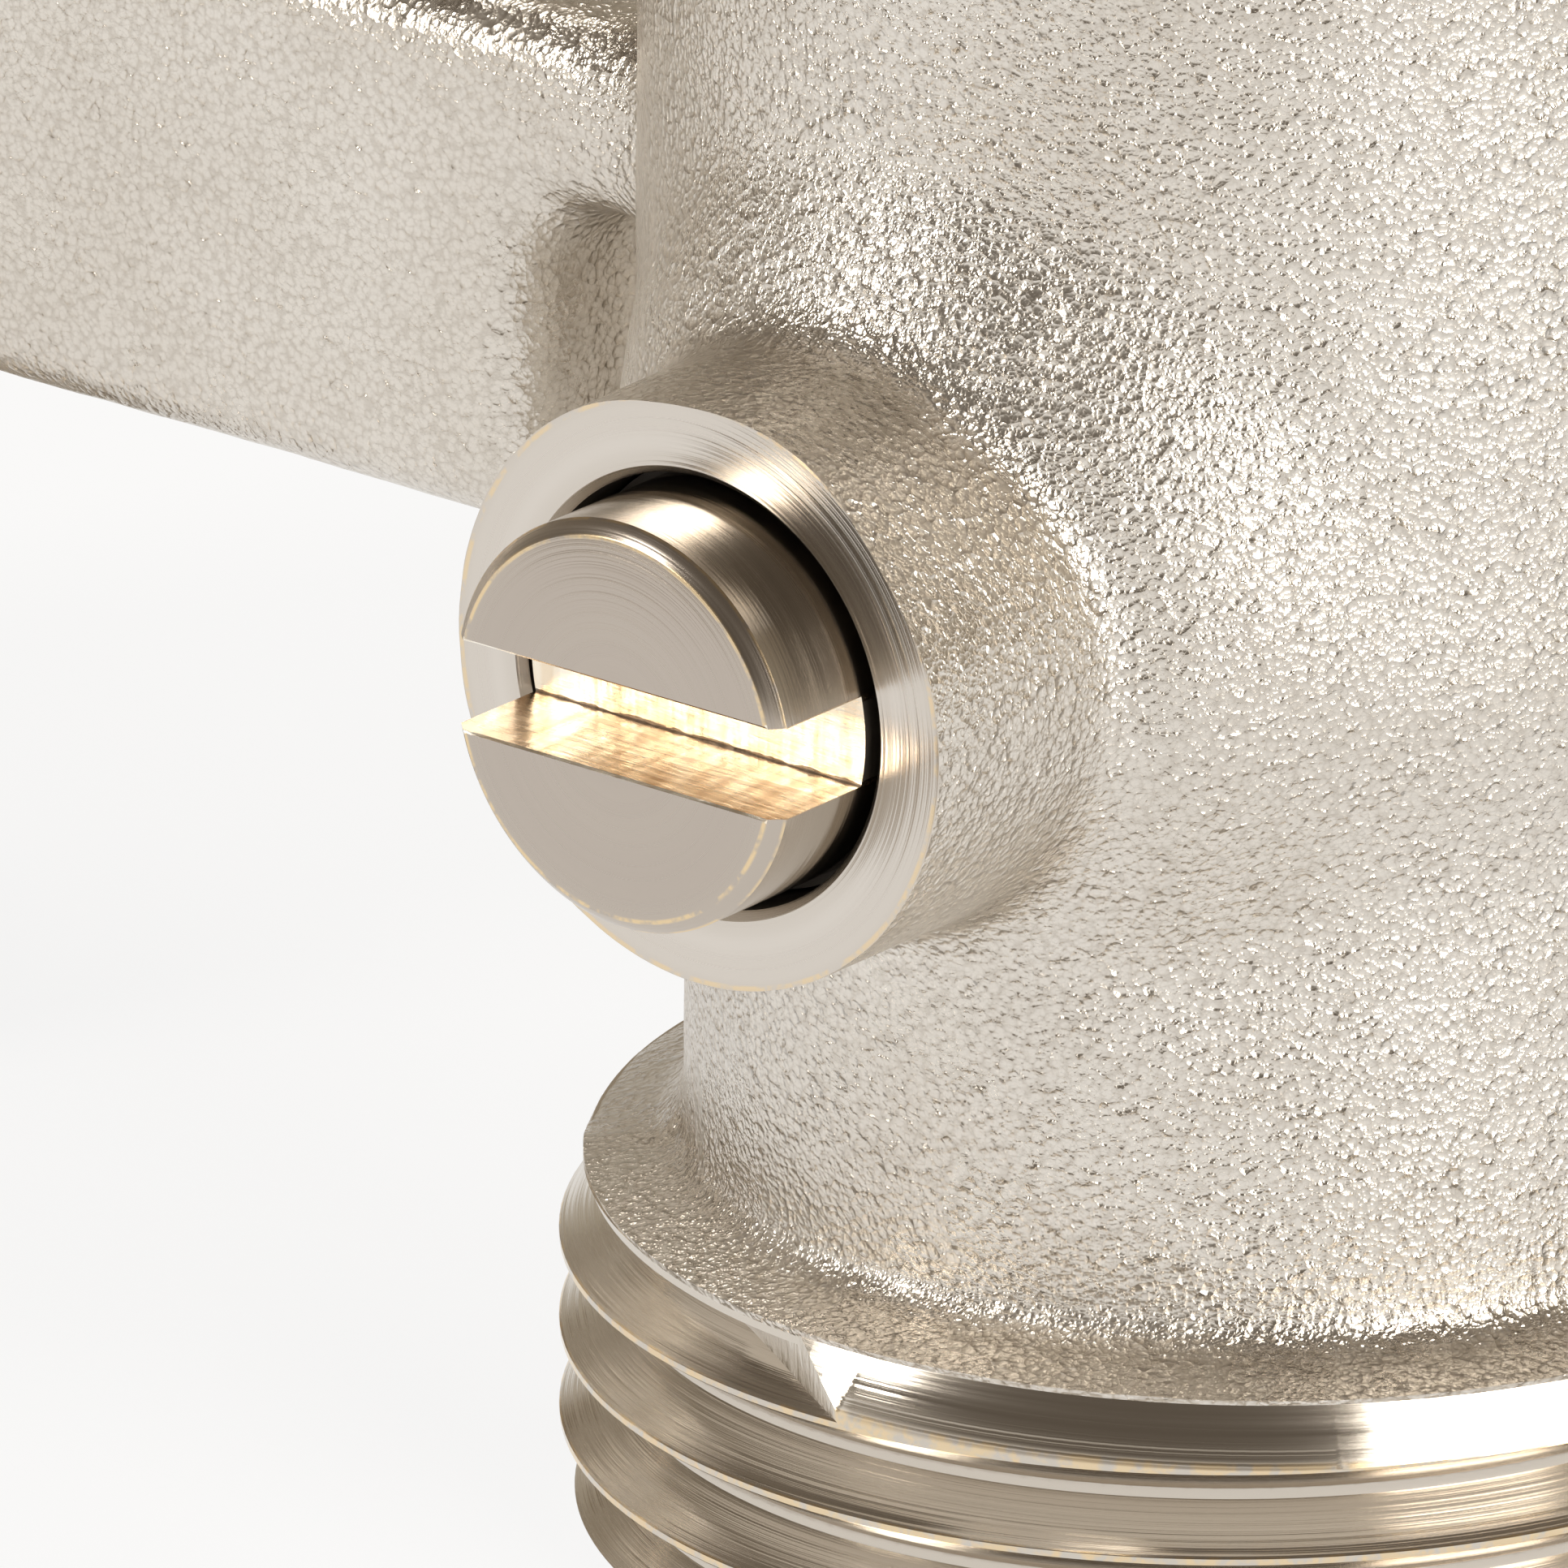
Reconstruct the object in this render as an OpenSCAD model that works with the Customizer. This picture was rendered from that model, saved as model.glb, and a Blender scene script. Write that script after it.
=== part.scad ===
// Twin shut-off connection valve for a radiator fed from below.
// X runs from leg to leg, the spindles face -Y, and Z=0 is the plane of both lower port mouths.

/* [Legs] */
// Distance between the axes of the two legs
leg_spacing = 50; // [48:1:60]
// Outer radius of a leg above the ball
leg_r = 11.7; // [11.4:0.1:12.6]
// Outer radius of the narrower neck below the ball
neck_r = 10.8; // [10.5:0.1:11.2]
// Height of a leg above the shoulder of its threaded end
leg_h = 30; // [29:0.5:36]

/* [Lower ports] */
// Radius over the crests of the pipe thread
thread_r = 13.2; // [12.9:0.05:13.6]
// Length of the threaded end below its shoulder
end_len = 7.3; // [6.8:0.1:10]
// Radius of the bore that takes a compression fitting
socket_r = 9.05; // [8:0.05:9.2]

/* [Shut-off] */
// Radius of the ball
ball_r = 8; // [7.6:0.1:8.3]
// Radius of the waterway through ball, seats and leg
port_r = 5; // [4.2:0.1:5.2]
// Height of the ball and spindle above the shoulder
ball_rise = 14.07; // [13.8:0.1:15]
// Radius of the spindle end that stands in the boss
spindle_r = 3.95; // [3.7:0.05:4.1]
// How far the spindle stands out of the boss
spindle_proud = 2.38; // [1.5:0.1:3]
// Width of the screwdriver slot
slot_w = 1.75; // [1.2:0.05:2.2]
// Depth of the screwdriver slot
slot_depth = 2.4; // [1.5:0.1:3]

/* [Boss] */
// Distance from the leg axis to the machined face of the boss
boss_reach = 16.62; // [16.2:0.1:18]
// Outer radius of the boss
boss_r = 5.68; // [5.5:0.05:6.2]

/* [Bridge] */
// Depth of the bridge from front to back
bridge_d = 10; // [8:0.5:12]
// Height of the bridge
bridge_h = 10.7; // [9:0.1:11]
// Height of the underside of the bridge above the shoulder
bridge_rise = 10.3; // [9.5:0.1:11]
// Distance from a leg axis to the end of the proud front panel
panel_stop = 13.7; // [13.2:0.1:15]

/* [Union nuts] */
// Width across the flats of a union nut
nut_af = 30; // [29.5:0.5:32]
// Height of a union nut
nut_h = 17; // [15.5:0.5:20]
// Thickness of the sealing gasket
gasket_t = 2; // [1.5:0.5:3]

/* [Hidden] */
$fn = 96;
section_fn = 32;       // sides of the round section of an o-ring
left = -1;
right = 1;
over = 0.5;            // how far a cutter runs past the face it opens

// fits
turn_fit = 0.05;       // radial clearance of a face that turns in another
ring_fit = 0.02;       // radial clearance of an o-ring in its bore
screw_fit = 0.03;      // radial clearance between screwed pieces
nut_fit = 0.1;         // radial clearance of a union nut round its tailpiece
nut_float = 0.3;       // play of a union nut between leg and collar

// levels along a leg
shoulder_z = end_len;
leg_top = shoulder_z + leg_h;
ball_z = shoulder_z + ball_rise;

// outside of a leg
tip_drop = 0.85;       // radial drop of the thread's end chamfer
tip_h = 0.7;
ring_drop = 0.55;      // radial drop of the chamfer at the shoulder
ring_h = 0.6;
foot_rise = 0.3;       // rise of the shoulder face towards the neck
foot_fillet = 1.2;
foot_steps = 5;
waist_z = shoulder_z + 8;
waist_h = 6;
waist_steps = 8;
top_chamfer = 0.5;

// inside of a leg
seat_t = 3.4;          // height of a seat ring
seat_short = 0.6;      // how far the back of a seat stops short of the ball's pole
seat_reach = ball_r - seat_short;
ball_gap = 0.3;        // radial room between the ball and the wall of its chamber
chamber_r = ball_r + ball_gap;
tail_step = 0.5;       // step from the chamber out to the thread of the tailpiece
tail_r = chamber_r + tail_step;
tail_lead = 0.3;       // how far that thread runs past the seat's back
tail_mouth = 0.3;      // chamfer where that thread opens at the top of a leg
water_gap = 0.5;       // how much wider the leg's waterway is than the ball's
water_r = port_r + water_gap;
socket_depth = 8.3;
socket_cone = 2.2;
mouth_flare = 1;
mouth_r = socket_r + mouth_flare;
mouth_h = 1.4;

// spindle and its stop
spindle_gap = 0.22;    // open ring round the spindle's end in the boss
bore_r = spindle_r + spindle_gap;
land_r = bore_r - turn_fit;
flange_gap = 0.1;      // room between the chamber's wall and the spindle's flange
flange_in = chamber_r + flange_gap;
flange_t = 0.9;
flange_r = 5.2;
washer_t = 0.6;
washer_in = flange_in + flange_t;
spot_face = washer_in + washer_t;
recess_fit = 0.1;      // radial room round the flange
recess_r = flange_r + recess_fit;
key_reach = 0.6;       // how far the stop key stands out of the flange
key_r = flange_r + key_reach;
key_half = 10;         // half angle of the stop key
key_fit = 0.1;         // clearance round the key's rim and below it
key_swing = 90;
key_margin = 0.7;      // angle left at each stop
tongue_t = 3;
tongue_l = 7;
tongue_hold = 1.95;    // how deep the tongue stands in the ball
tongue_in = ball_r - tongue_hold;
tongue_fit = 0.05;
stem_end = boss_reach + spindle_proud;
end_chamfer = 0.27;
bore_chamfer = 0.17;
oring_r = 0.75;        // section radius of a stem o-ring
groove_w = 1.7;
groove_root = bore_r - 2 * (oring_r + ring_fit);
relief_len = 1.4;      // length of the thinner spindle end inside the boss
land_end = boss_reach - relief_len;
groove_gap = (land_end - spot_face - 2 * groove_w) / 3;   // equal lands beside and between the grooves
grooves = [spot_face + groove_gap, land_end - groove_gap - groove_w];

// boss root
root_r = 1.3;
root_steps = 6;
root_len = 4.6;        // distance from the boss's face to the foot of its flare
root_y = boss_reach - root_len;

// bridge
bridge_round = 1.4;
bridge_z = shoulder_z + bridge_rise;
notch_d = 3.8;         // depth of the notch beside each leg
notch_h = 6.75;        // height of that notch above the bridge's underside

// tailpiece, nut and gasket
key_af = 12;           // hexagon key in the tailpiece
key_depth = 4;
tail_ledge = 1.1;      // width of the ledge with which the tailpiece sits on the leg
tail_neck_r = tail_r + tail_ledge;
lip_t = 2.6;
seat_gap = 0.05;       // gap under a union nut
collar_gap = 1.5;      // how far the collar stays inside the crests of the radiator's thread
collar_r = thread_r - collar_gap;
collar_t = 3;
collar_z = leg_top + seat_gap + lip_t + nut_float;
gasket_z = collar_z + collar_t;
tail_oring_r = 0.65;
tail_groove_w = 1.6;
tail_groove_z = leg_top - 2.5;
tail_root = tail_r - 2 * tail_oring_r - 2 * ring_fit;
tail_z = ball_z + seat_reach;
tail_tip = 0.6;
nut_z = leg_top + seat_gap;
thread_depth = 1.1;
nut_minor_r = thread_r - thread_depth;
nut_relief_d = 0.3;    // depth of the relief below the nut's thread
nut_relief_r = nut_minor_r + nut_relief_d;
nut_relief_h = 0.4;
nut_chamfer = 1.1;
crown_w = 2.4;         // width and height of the chamfer on the nut's corners
crown_h = 1.4;
gasket_gap = 0.2;      // how far the gasket stays inside the collar's rim
gasket_r = collar_r - gasket_gap;
gasket_land = 1.2;     // face of the collar left between its hexagon key and the gasket
gasket_bore = key_af / 2 / cos(30) + gasket_land;

function ease(t) = t * t * (3 - 2 * t);

// quarter circle from one point towards another, hollow side out
function hollow(cx, cy, r, from, to, n) =
    [for (i = [0:n]) let (a = from + (to - from) * i / n) [cx + r * cos(a), cy + r * sin(a)]];

module at_leg(side) {
    translate([side * leg_spacing / 2, 0, 0]) children();
}

// puts a shape drawn along +Z onto the spindle axis, reaching towards -Y
module along_spindle() {
    translate([0, 0, ball_z]) rotate([90, 0, 0]) children();
}

module ring(outer, inner, z, h) {
    translate([0, 0, z]) difference() {
        cylinder(r = outer, h = h);
        translate([0, 0, -over]) cylinder(r = inner, h = h + 2 * over);
    }
}

module oring(outer, section, z) {
    translate([0, 0, z]) rotate_extrude() translate([outer - section, 0]) circle(r = section, $fn = section_fn);
}

// flat sector of a disc between two angles
module sector(r, a, b) {
    reach = 2 * r;
    intersection() {
        circle(r = r);
        polygon([[0, 0], reach * [cos(a), sin(a)],
                 reach * [cos((a + b) / 2), sin((a + b) / 2)], reach * [cos(b), sin(b)]]);
    }
}

module leg_outside() {
    waist = [for (i = [0:waist_steps])
             [neck_r + (leg_r - neck_r) * ease(i / waist_steps), waist_z + waist_h * i / waist_steps]];
    foot = hollow(neck_r + foot_fillet, shoulder_z + foot_rise + foot_fillet, foot_fillet, 270, 180, foot_steps);
    rotate_extrude() polygon(concat(
        [[0, 0], [thread_r - tip_drop, 0], [thread_r, tip_h], [thread_r, shoulder_z - ring_h],
         [thread_r - ring_drop, shoulder_z]],
        foot, waist,
        [[leg_r, leg_top - top_chamfer], [leg_r - top_chamfer, leg_top], [0, leg_top]]));
}

module boss() {
    flare = hollow(boss_r + root_r, root_y, root_r, 270, 180, root_steps);
    along_spindle() rotate_extrude() polygon(concat(
        [[0, ball_r], [boss_r + root_r, ball_r]], flare, [[boss_r, boss_reach], [0, boss_reach]]));
}

module rounded_bar(l, d, h, r) {
    for (s = [-1, 1], t = [-1, 1])
        translate([-l / 2, s * (d / 2 - r), h / 2 + t * (h / 2 - r)]) rotate([0, 90, 0]) cylinder(r = r, h = l);
    translate([-l / 2, -d / 2, r]) cube([l, d, h - 2 * r]);
    translate([-l / 2, r - d / 2, 0]) cube([l, d - 2 * r, h]);
}

module bridge() {
    notch_l = panel_stop;
    difference() {
        translate([0, 0, bridge_z]) rounded_bar(leg_spacing, bridge_d, bridge_h, bridge_round);
        for (s = [left, right])
            translate([s * (leg_spacing - notch_l) / 2 - notch_l / 2, -bridge_d / 2 - over, bridge_z - over])
                cube([notch_l, notch_d + over, notch_h + over]);
    }
}

module leg_inside() {
    rotate_extrude() polygon([
        [0, -over], [mouth_r + over * (mouth_r - socket_r) / mouth_h, -over], [socket_r, mouth_h],
        [socket_r, socket_depth], [water_r, socket_depth + socket_cone],
        [water_r, ball_z - seat_reach], [chamber_r, ball_z - seat_reach],
        [chamber_r, ball_z + seat_reach - tail_lead], [tail_r, ball_z + seat_reach - tail_lead],
        [tail_r, leg_top - tail_mouth], [tail_r + tail_mouth + over, leg_top + over],
        [0, leg_top + over]]);
}

// bore of the spindle, recess of its flange and the pocket that stops the key after a quarter turn
module spindle_bore() {
    along_spindle() {
        cylinder(r = bore_r, h = boss_reach + over);
        translate([0, 0, boss_reach - bore_chamfer])
            cylinder(r1 = bore_r, r2 = bore_r + bore_chamfer + over, h = bore_chamfer + over);
        cylinder(r = recess_r, h = spot_face);
        linear_extrude(height = washer_in + key_fit)
            sector(key_r + key_fit, 90 - key_swing - key_half - key_margin, 90 + key_half + key_margin);
    }
}

module body() {
    color("#cfc6b8") difference() {
        union() {
            for (s = [left, right]) at_leg(s) {
                leg_outside();
                boss();
            }
            bridge();
        }
        for (s = [left, right]) at_leg(s) {
            leg_inside();
            spindle_bore();
        }
    }
}

module stem() {
    color("#c2b6a6") along_spindle() difference() {
        union() {
            translate([0, 0, flange_in]) cylinder(r = flange_r, h = flange_t);
            translate([0, 0, flange_in]) linear_extrude(height = flange_t)
                sector(key_r, 90 - key_half, 90 + key_half);
            translate([-tongue_t / 2, -tongue_l / 2, tongue_in]) cube([tongue_t, tongue_l, flange_in - tongue_in]);
            translate([0, 0, flange_in]) cylinder(r = land_r, h = land_end - flange_in);
            translate([0, 0, flange_in]) rotate_extrude() polygon([
                [0, 0], [spindle_r, 0], [spindle_r, stem_end - flange_in - end_chamfer],
                [spindle_r - end_chamfer, stem_end - flange_in], [0, stem_end - flange_in]]);
        }
        for (g = grooves) ring(bore_r, groove_root, g, groove_w);
        translate([-spindle_r - over, -slot_w / 2, stem_end - slot_depth])
            cube([2 * (spindle_r + over), slot_w, slot_depth + over]);
    }
}

module stem_oring(n) {
    color("#26231f") along_spindle()
        oring(bore_r - ring_fit, oring_r, grooves[n] + groove_w / 2);
}

module thrust_washer() {
    color("#efece2") along_spindle() ring(flange_r, bore_r, washer_in, washer_t - ring_fit);
}

module ball() {
    color("#d5d3ce") difference() {
        translate([0, 0, ball_z]) sphere(r = ball_r);
        translate([-ball_r - over, 0, ball_z]) rotate([0, 90, 0]) cylinder(r = port_r, h = 2 * (ball_r + over));
        along_spindle() translate([-tongue_t / 2 - tongue_fit, -ball_r, tongue_in - tongue_fit])
            cube([tongue_t + 2 * tongue_fit, 2 * ball_r, ball_r]);
    }
}

// seat ring with a face hollowed to the ball, drawn for the upper side
module seat(side) {
    color("#f2efe6") translate([0, 0, ball_z]) mirror([0, 0, side < 0 ? 1 : 0]) difference() {
        ring(chamber_r - turn_fit, water_r, seat_reach - seat_t, seat_t);
        sphere(r = ball_r + turn_fit);
    }
}

module tailpiece() {
    spigot_r = tail_r - screw_fit;
    color("#cbbfae") difference() {
        rotate_extrude() polygon([
            [water_r, tail_z], [spigot_r - tail_tip, tail_z], [spigot_r, tail_z + tail_tip],
            [spigot_r, tail_groove_z], [tail_root, tail_groove_z], [tail_root, tail_groove_z + tail_groove_w],
            [spigot_r, tail_groove_z + tail_groove_w], [spigot_r, leg_top], [tail_neck_r, leg_top],
            [tail_neck_r, collar_z], [collar_r, collar_z], [collar_r, gasket_z], [water_r, gasket_z]]);
        translate([0, 0, gasket_z - key_depth]) cylinder(r = key_af / 2 / cos(30), h = key_depth + over, $fn = 6);
    }
}

module tail_oring() {
    color("#26231f") oring(tail_r - ring_fit, tail_oring_r, tail_groove_z + tail_groove_w / 2);
}

module union_nut() {
    corner_r = nut_af / 2 / cos(30);
    rim = corner_r - crown_w;
    relief_top = gasket_z + gasket_t - nut_z + nut_relief_h;
    color("#d2c9bb") translate([0, 0, nut_z]) difference() {
        intersection() {
            cylinder(r = corner_r, h = nut_h, $fn = 6);
            rotate_extrude() polygon([
                [0, 0], [rim, 0], [corner_r, crown_h], [corner_r, nut_h - crown_h], [rim, nut_h], [0, nut_h]]);
        }
        rotate_extrude() polygon([
            [0, -over], [tail_neck_r + nut_fit, -over], [tail_neck_r + nut_fit, lip_t],
            [nut_relief_r, lip_t], [nut_relief_r, relief_top], [nut_minor_r, relief_top],
            [nut_minor_r, nut_h - nut_chamfer], [nut_minor_r + nut_chamfer + over, nut_h + over],
            [0, nut_h + over]]);
    }
}

module gasket() {
    color("#3a3833") ring(gasket_r, gasket_bore, gasket_z, gasket_t);
}

module left_stem() { at_leg(left) stem(); }
module left_ball() { at_leg(left) ball(); }
module left_upper_seat() { at_leg(left) seat(1); }
module left_lower_seat() { at_leg(left) seat(-1); }
module left_inner_stem_oring() { at_leg(left) stem_oring(0); }
module left_outer_stem_oring() { at_leg(left) stem_oring(1); }
module left_thrust_washer() { at_leg(left) thrust_washer(); }
module left_tailpiece() { at_leg(left) tailpiece(); }
module left_tail_oring() { at_leg(left) tail_oring(); }
module left_union_nut() { at_leg(left) union_nut(); }
module left_gasket() { at_leg(left) gasket(); }
module right_stem() { at_leg(right) stem(); }
module right_ball() { at_leg(right) ball(); }
module right_upper_seat() { at_leg(right) seat(1); }
module right_lower_seat() { at_leg(right) seat(-1); }
module right_inner_stem_oring() { at_leg(right) stem_oring(0); }
module right_outer_stem_oring() { at_leg(right) stem_oring(1); }
module right_thrust_washer() { at_leg(right) thrust_washer(); }
module right_tailpiece() { at_leg(right) tailpiece(); }
module right_tail_oring() { at_leg(right) tail_oring(); }
module right_union_nut() { at_leg(right) union_nut(); }
module right_gasket() { at_leg(right) gasket(); }

body();
left_stem();
left_ball();
left_upper_seat();
left_lower_seat();
left_inner_stem_oring();
left_outer_stem_oring();
left_thrust_washer();
left_tailpiece();
left_tail_oring();
left_union_nut();
left_gasket();
right_stem();
right_ball();
right_upper_seat();
right_lower_seat();
right_inner_stem_oring();
right_outer_stem_oring();
right_thrust_washer();
right_tailpiece();
right_tail_oring();
right_union_nut();
right_gasket();
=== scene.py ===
import math

import bmesh
import bpy
from mathutils import Matrix, Vector, noise


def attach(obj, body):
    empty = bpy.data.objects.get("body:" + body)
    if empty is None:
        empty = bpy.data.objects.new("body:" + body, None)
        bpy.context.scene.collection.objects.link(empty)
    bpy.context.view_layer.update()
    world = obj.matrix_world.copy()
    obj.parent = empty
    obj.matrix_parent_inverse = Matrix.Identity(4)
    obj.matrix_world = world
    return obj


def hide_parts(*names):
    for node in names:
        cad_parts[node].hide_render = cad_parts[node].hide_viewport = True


# Twin shut-off connection valve for a radiator. Shapes are given in millimetres and turned into metres by MM.
MM = 0.001

# legs and lower ports
LEG_X = 25.0
LEG_R = 11.7
NECK_R = 10.8
SHOULDER_Z = 7.3
LEG_TOP = 37.3
THREAD_R = 13.18
RING_R = 12.65
TIP_R = 12.35
PITCH = 1.814
THREAD_DEPTH = 1.162
FIRST_CREST = 1.38      # drop of the first crest below the shoulder, on the front of a leg
SOCKET_R = 9.05
WATER_R = 5.5
CHAMBER_R = 8.3
SEAT_BACK = 7.4

# spindle and its boss
BALL_Z = 21.37
BOSS_REACH = 16.62
BOSS_R = 5.68
BORE_R = 4.17
SPINDLE_R = 3.95
SPINDLE_END = 19.0
SKIRT_H = 1.15          # swelling of the leg at the root of the boss, which ends SKIRT_OUT from the spindle's axis
SKIRT_IN = 5.6
SKIRT_OUT = 9.6
SLOT_W = 1.75
SLOT_DEPTH = 2.4

# bridge
BRIDGE_Z = 17.6
BRIDGE_H = 10.7
BRIDGE_D = 10.0
PANEL_STOP = 13.7
NOTCH_DEPTH = 3.8
NOTCH_H = 6.75

# union nuts
NUT_Z = 37.35
NUT_H = 17.0
NUT_AF = 30.0
NUT_MINOR = 12.1
NUT_RELIEF_R = 12.4
NUT_LIP = 2.6
NUT_LIP_R = 10.05
NUT_THREAD_Z = 8.3

SIDES = {"left": -1, "right": 1}

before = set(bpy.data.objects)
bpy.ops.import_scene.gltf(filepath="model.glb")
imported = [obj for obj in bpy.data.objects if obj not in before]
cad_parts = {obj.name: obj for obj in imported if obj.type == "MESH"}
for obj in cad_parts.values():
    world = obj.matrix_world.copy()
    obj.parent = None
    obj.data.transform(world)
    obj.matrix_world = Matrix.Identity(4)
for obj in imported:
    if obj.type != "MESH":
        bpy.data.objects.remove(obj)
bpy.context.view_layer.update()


def mm(*v):
    return Vector(v) * MM


# mesh helpers

def finish_mesh(name, bm, smooth=32):
    bmesh.ops.recalc_face_normals(bm, faces=bm.faces)
    mesh = bpy.data.meshes.new(name)
    bm.to_mesh(mesh)
    bm.free()
    piece = bpy.data.objects.new(name, mesh)
    bpy.context.scene.collection.objects.link(piece)
    soften(piece, smooth)
    return piece


def soften(piece, angle=32):
    piece.data.shade_smooth()
    piece.data.set_sharp_from_angle(angle=math.radians(angle))


def lathe(name, outline, steps=160, closed=False):
    """Solid of revolution about Z. The outline is a list of (radius, height); an open one starts and ends on the axis."""
    bm = bmesh.new()
    verts = [bm.verts.new(mm(r, 0, h)) for r, h in outline]
    pairs = list(zip(verts, verts[1:]))
    if closed:
        pairs.append((verts[-1], verts[0]))
    edges = [bm.edges.new(p) for p in pairs]
    bmesh.ops.spin(bm, geom=verts + edges, cent=(0, 0, 0), axis=(0, 0, 1), angle=2 * math.pi,
                   steps=steps, use_merge=True, use_duplicate=False)
    bmesh.ops.remove_doubles(bm, verts=bm.verts, dist=1e-6)
    return finish_mesh(name, bm)


def block(name, low, high):
    bm = bmesh.new()
    bmesh.ops.create_cube(bm, size=1)
    low, high = mm(*low), mm(*high)
    bmesh.ops.scale(bm, vec=high - low, verts=bm.verts)
    bmesh.ops.translate(bm, vec=(low + high) / 2, verts=bm.verts)
    return finish_mesh(name, bm)


def place(piece, matrix):
    piece.data.transform(matrix)
    if matrix.determinant() < 0:
        piece.data.flip_normals()
    return piece


def on_leg(side):
    return Matrix.Translation(mm(SIDES[side] * LEG_X, 0, 0))


def on_spindle(side):
    """Carries a shape drawn along +Z onto the spindle axis, so that it points towards -Y."""
    return Matrix.Translation(mm(SIDES[side] * LEG_X, 0, BALL_Z)) @ Matrix.Rotation(math.radians(90), 4, "X")


def settle(piece):
    """Applies a piece's modifiers."""
    bpy.context.view_layer.update()
    graph = bpy.context.evaluated_depsgraph_get()
    mesh = bpy.data.meshes.new_from_object(piece.evaluated_get(graph))
    piece.modifiers.clear()
    old = piece.data
    piece.data = mesh
    mesh.name = piece.name
    bpy.data.meshes.remove(old)
    return piece


def combine(piece, tool, operation="DIFFERENCE", solver="MANIFOLD"):
    mod = piece.modifiers.new("combine", "BOOLEAN")
    mod.operation = operation
    mod.solver = solver
    mod.object = tool
    settle(piece)
    bpy.data.objects.remove(tool)
    return piece


def join(name, pieces):
    bm = bmesh.new()
    for piece in pieces:
        bm.from_mesh(piece.data)
        bpy.data.objects.remove(piece)
    return finish_mesh(name, bm)


def arc(cx, cy, r, start, end, steps):
    angles = [math.radians(start + (end - start) * i / steps) for i in range(steps + 1)]
    return [(cx + r * math.cos(a), cy + r * math.sin(a)) for a in angles]


def ease(t):
    t = min(max(t, 0.0), 1.0)
    return t * t * (3 - 2 * t)


# camera: fitted to the thread, boss, spindle and bridge of the photograph

CAMERA_AZ = 39.24
CAMERA_EL = 21.03
CAMERA_ROLL = 0.136
CAMERA_DISTANCE = 450.0
FOCAL_PX = 29185.6
PHOTO_PX = 1932
SENSOR_MM = 36.0
ANCHOR = (LEG_X, 0.0, SHOULDER_Z)       # point of the right leg's axis whose pixel is known
ANCHOR_PX = (1543.36, 1413.10)


def add_camera():
    a, e, roll = (math.radians(v) for v in (CAMERA_AZ, CAMERA_EL, CAMERA_ROLL))
    right = Vector((math.cos(a), math.sin(a), 0))
    back = Vector((math.sin(a) * math.cos(e), -math.cos(a) * math.cos(e), math.sin(e)))
    up = back.cross(right)
    right, up = math.cos(roll) * right + math.sin(roll) * up, -math.sin(roll) * right + math.cos(roll) * up
    dx = (ANCHOR_PX[0] - PHOTO_PX / 2) / FOCAL_PX * CAMERA_DISTANCE
    dy = -(ANCHOR_PX[1] - PHOTO_PX / 2) / FOCAL_PX * CAMERA_DISTANCE
    centre = mm(*ANCHOR) + (back * CAMERA_DISTANCE - right * dx - up * dy) * MM
    data = bpy.data.cameras.new("camera")
    data.sensor_width = SENSOR_MM
    data.lens = FOCAL_PX / PHOTO_PX * SENSOR_MM
    camera = bpy.data.objects.new("camera", data)
    turn = Matrix((right, up, back)).transposed().to_4x4()
    camera.matrix_world = Matrix.Translation(centre) @ turn
    bpy.context.scene.collection.objects.link(camera)
    bpy.context.scene.camera = camera


add_camera()


# the forging: two legs, bridge and bosses, blasted, with the turned faces cut into it

def leg_frame(co):
    """Place of a point in millimetres, from the axis of its own leg and the level of the ball."""
    x, y, z = co / MM
    side = 1 if x > 0 else -1
    return Vector((x - side * LEG_X, y, z - BALL_Z)), side


def raise_skirt(leg):
    """A leg swells gently round the root of its boss."""
    for v in leg.data.vertices:
        p, side = leg_frame(v.co)
        from_axis = math.hypot(p.x, p.z)
        from_leg = math.hypot(p.x, p.y)
        if p.y < 0 and from_axis < SKIRT_OUT and from_leg > NECK_R - 0.5:
            rise = SKIRT_H * (1 - ease((from_axis - SKIRT_IN) / (SKIRT_OUT - SKIRT_IN)))
            v.co += Vector((p.x, p.y, 0)) / from_leg * rise * MM


def flatten_boss(boss):
    """The forged boss is a little flat on top and at its upper right."""
    for v in boss.data.vertices:
        p, side = leg_frame(v.co)
        from_axis = math.hypot(p.x, p.z)
        if from_axis > 4.5 and p.y < -12.5:
            angle = math.degrees(math.atan2(p.z, p.x))
            flat = 0.16 * (1 - ease(abs(angle - 95) / 30)) + 0.2 * (1 - ease(abs(angle - 38) / 26))
            v.co -= Vector((p.x, 0, p.z)) / from_axis * flat * MM


def leg_blank(side):
    waist = [(NECK_R + (LEG_R - NECK_R) * ease(i / 10), SHOULDER_Z + 8 + 0.6 * i) for i in range(11)]
    foot = arc(NECK_R + 0.5, SHOULDER_Z + 0.28 + 0.5, 0.5, 270, 180, 4)
    outline = [(0, SHOULDER_Z - 1.6), (RING_R + 0.6, SHOULDER_Z - 1.6), (RING_R + 0.5, SHOULDER_Z - 0.02)]
    above = [(LEG_R, SHOULDER_Z + 14.4 + 0.4 * i) for i in range(30)]
    outline += foot + waist + above + [(LEG_R + 0.1, LEG_TOP - 0.5), (LEG_R - 0.4, LEG_TOP), (0, LEG_TOP)]
    leg = place(lathe("leg", outline), on_leg(side))
    raise_skirt(leg)
    return leg


def boss_blank(side):
    root = arc(BOSS_R + 0.75, 11.6, 0.7, 270, 180, 4)
    outline = [(0, 6), (BOSS_R + 0.75, 6)] + root + [(BOSS_R, BOSS_REACH + 0.8), (0, BOSS_REACH + 0.8)]
    boss = place(lathe("boss", outline), on_spindle(side))
    flatten_boss(boss)
    return boss


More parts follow.
